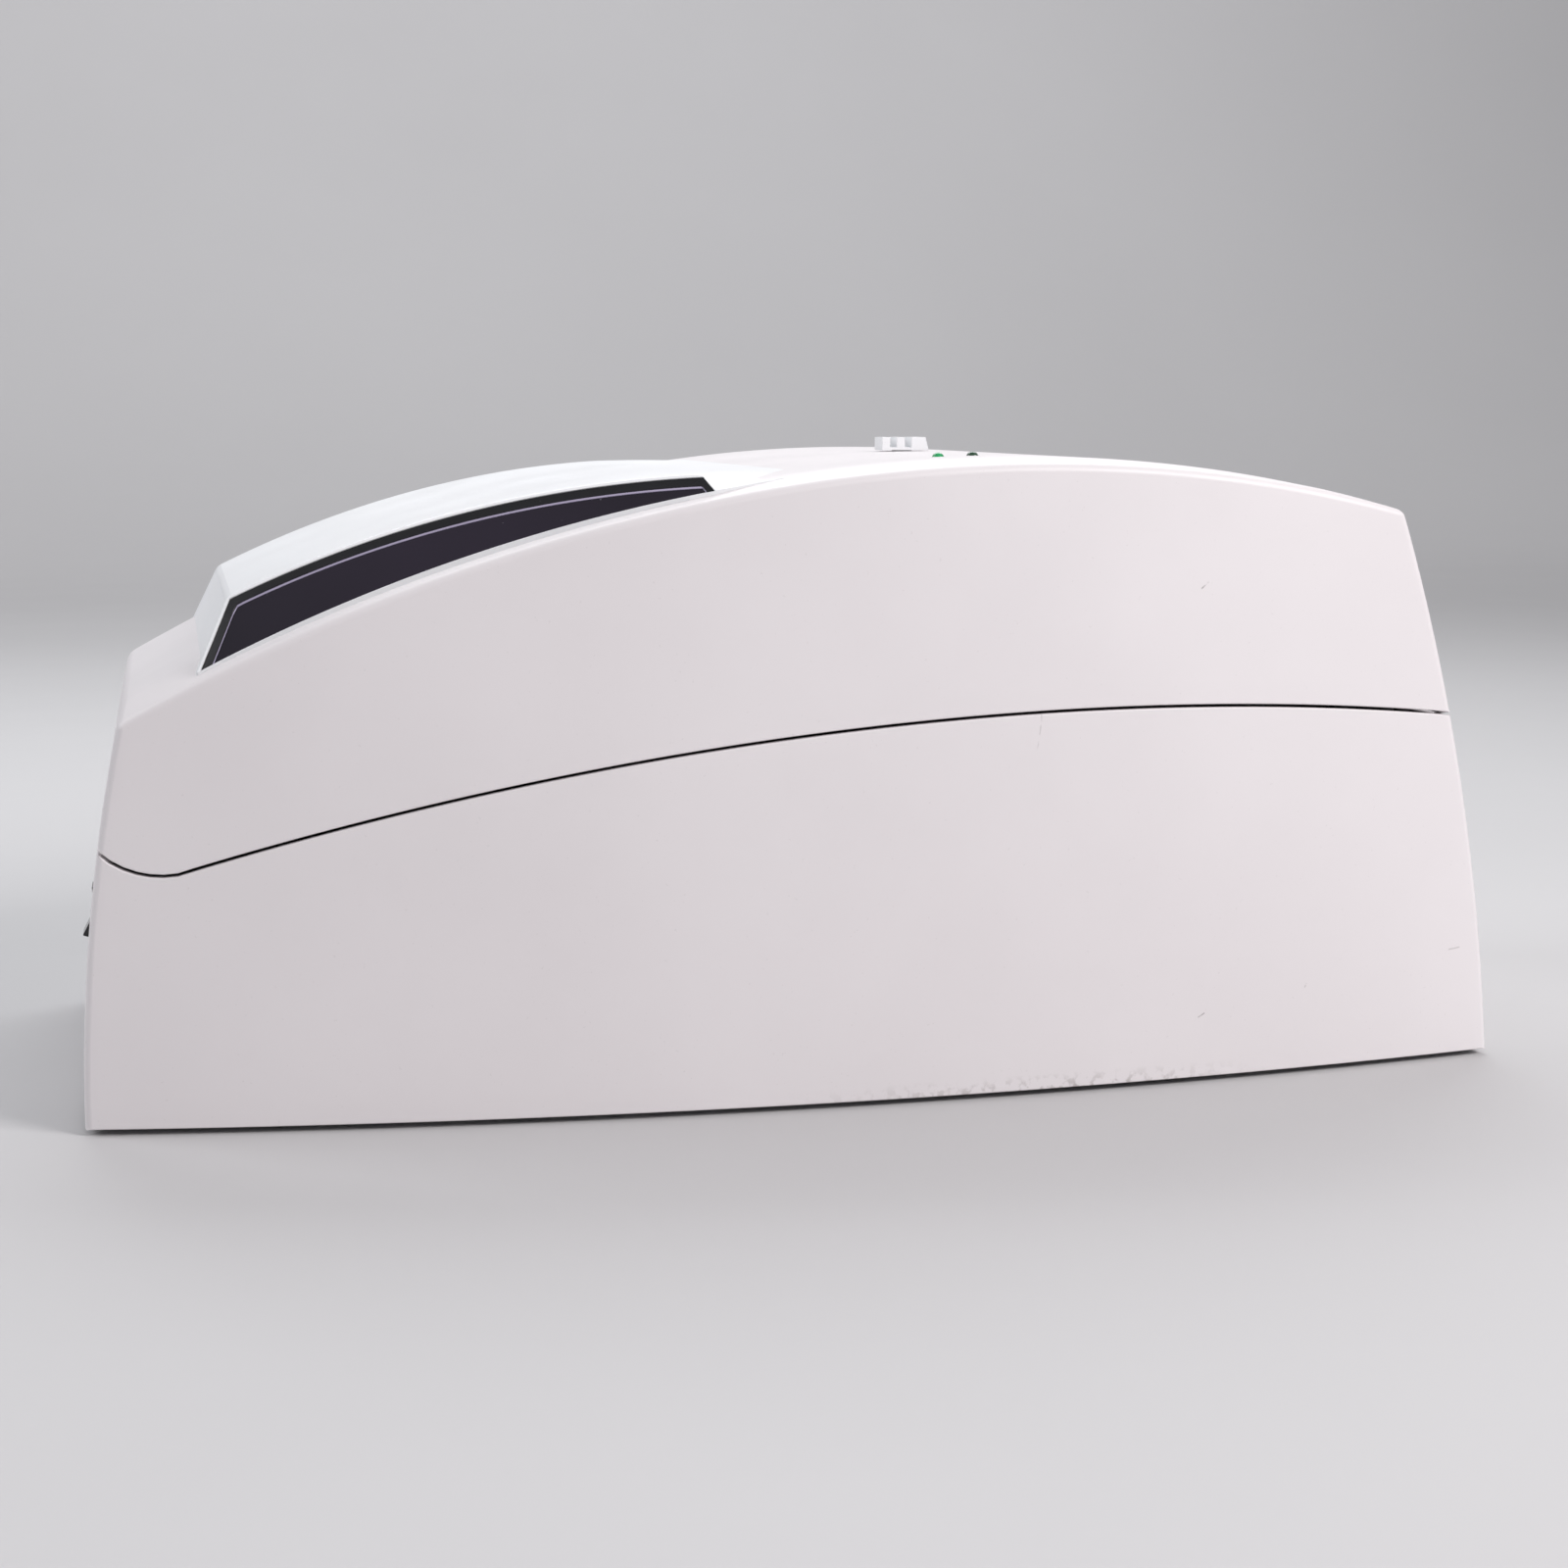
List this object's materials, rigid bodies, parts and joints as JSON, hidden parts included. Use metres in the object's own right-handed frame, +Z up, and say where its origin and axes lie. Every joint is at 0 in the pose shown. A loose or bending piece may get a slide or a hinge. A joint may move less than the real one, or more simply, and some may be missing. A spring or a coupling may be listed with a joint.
{
  "type": "flatbed barcode scanner",
  "caption": "Tall countertop barcode scanner with a flat glass scan bed under a hinged arched cover, side viewing windows, a sliding lock and a power rocker.",
  "frame": {"origin": "middle of the footprint, on the ground under the rubber feet", "axes": "+X along the length to the end that opens, +Y away from the operator across the width, +Z up"},
  "size_m": [0.45, 0.23, 0.2025],
  "materials": {
    "shell": "fine satin grain, faint lilac grey-white",
    "top": "finely brushed cool white",
    "black": "smooth, half gloss",
    "smoked": "smoked purple-black, polished",
    "clear": "clear, polished",
    "rubber": "matt",
    "steel": "zinc plated",
    "tray": "bead blasted",
    "brass": "turned",
    "mirror": "front-silvered",
    "board": "green solder mask",
    "bed": "fine grain, mid grey",
    "inner": "plain moulded",
    "lamp_on": "tinted green lens",
    "lamp_off": "tinted dark green lens",
    "opal": "translucent opal"
  },
  "bodies": {
    "base": {"lower_housing": "shell", "bottom_plate": "steel", "rubber_feet": "rubber", "plate_screws": "steel", "bed_deck": "bed", "deck_screws": "steel", "platen_gasket": "rubber", "platen_glass": "clear", "optics_tray": "tray", "tray_posts": "steel", "laser_module": "brass", "fold_mirrors": "mirror", "collecting_mirror": "mirror", "sensor_board": "board", "scan_motor": "tray", "main_board": "board", "board_posts": "brass", "board_screws": "steel", "power_supply": "board", "power_inlet": "black", "data_socket": "black", "speaker": "black", "rocker_bezel": "black", "rocker_pin": "steel", "hinge_brackets": "steel", "bracket_screws": "steel", "hinge_pins": "steel", "lock_keeper": "steel", "keeper_screws": "steel", "cover_stops": "bed"},
    "polygon": {"polygon_mirror": "mirror"},
    "rocker": {"power_rocker": "black"},
    "cover": {"upper_housing": "shell", "hood": "top", "window_bezels": "black", "window_panes": "smoked", "hinge_arms": "inner", "power_led": "lamp_on", "scan_led": "lamp_off", "led_board": "board", "led_board_screws": "steel", "lamp_housings": "inner", "lamp_diffusers": "opal", "bar_guides": "inner", "cover_bumpers": "rubber"},
    "lock": {"lock_grip": "top", "lock_bar": "steel"}
  },
  "joints": [
    {"name": "cover_hinge", "type": "hinge", "parent": "base", "child": "cover", "pos_m": [-0.2005, 0, 0.10441], "axis": [0, -1, 0], "range_deg": [0, 75]},
    {"name": "lock_slide", "type": "slide", "parent": "cover", "child": "lock", "axis": [1, 0, 0], "range_m": [0, 0.006]},
    {"name": "rocker_toggle", "type": "hinge", "parent": "base", "child": "rocker", "pos_m": [-0.21718, -0.074, 0.0632], "axis": [0, -1, 0], "range_deg": [0, 24]},
    {"name": "mirror_spin", "type": "hinge", "parent": "base", "child": "polygon", "pos_m": [0.07, 0.02, 0.04], "axis": [0, 0, 1], "continuous": true}
  ]
}
